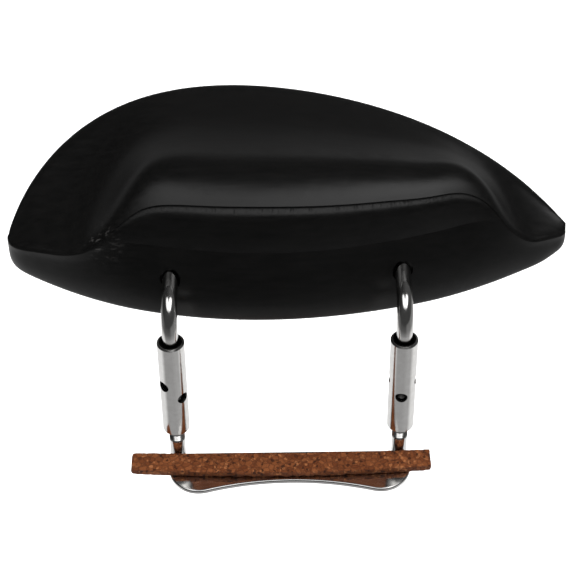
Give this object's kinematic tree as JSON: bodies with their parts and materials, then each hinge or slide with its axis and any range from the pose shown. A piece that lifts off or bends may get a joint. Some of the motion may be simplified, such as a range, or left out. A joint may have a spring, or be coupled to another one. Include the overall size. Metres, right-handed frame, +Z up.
{
  "type": "violin chin rest",
  "caption": "Carved black chin rest with a raised, undercut rim, clamped to an instrument's edge by turnbuckle barrels and a cork-lined hook plate.",
  "frame": {"origin": "centre of the seat cork's underside, where the chin rest sits on the instrument's top", "axes": "+Z up from the instrument's top, +Y from the player's side towards the middle of the instrument, +X along the instrument's edge, to the right seen from the player's side"},
  "size_m": [0.1136, 0.074, 0.0596],
  "materials": {
    "ebony": "ebony, polished to a satin gloss",
    "cork": "agglomerated cork, cut edges, reddish brown with dark flecks",
    "plated_steel": "polished nickel plating",
    "plated_brass": "polished nickel plating"
  },
  "bodies": {
    "plate": {"chin_plate": "ebony", "seat_cork": "cork", "left_upper_post": "plated_steel", "right_upper_post": "plated_steel"},
    "barrel_left": {"left_barrel": "plated_brass"},
    "barrel_right": {"right_barrel": "plated_brass"},
    "hook": {"hook_plate": "plated_steel", "hook_cork": "cork", "left_lower_stud": "plated_steel", "right_lower_stud": "plated_steel"}
  },
  "joints": [
    {"name": "left_barrel_turn", "type": "hinge", "parent": "plate", "child": "barrel_left", "pos_m": [-0.02325, -0.0141, -0.0093], "axis": [0, 0, 1], "range_deg": [-720, 3528]},
    {"name": "right_barrel_turn", "type": "hinge", "parent": "plate", "child": "barrel_right", "pos_m": [0.02285, -0.0141, -0.0093], "axis": [0, 0, 1], "range_deg": [-720, 3528]},
    {"name": "hook_slide", "type": "slide", "parent": "plate", "child": "hook", "axis": [0, 0, -1], "range_m": [-0.002, 0.0098]}
  ],
  "couplings": [
    {"joint": "left_barrel_turn", "follows": "hook_slide", "rad_per_m": 6283.2},
    {"joint": "right_barrel_turn", "follows": "hook_slide", "rad_per_m": 6283.2}
  ]
}
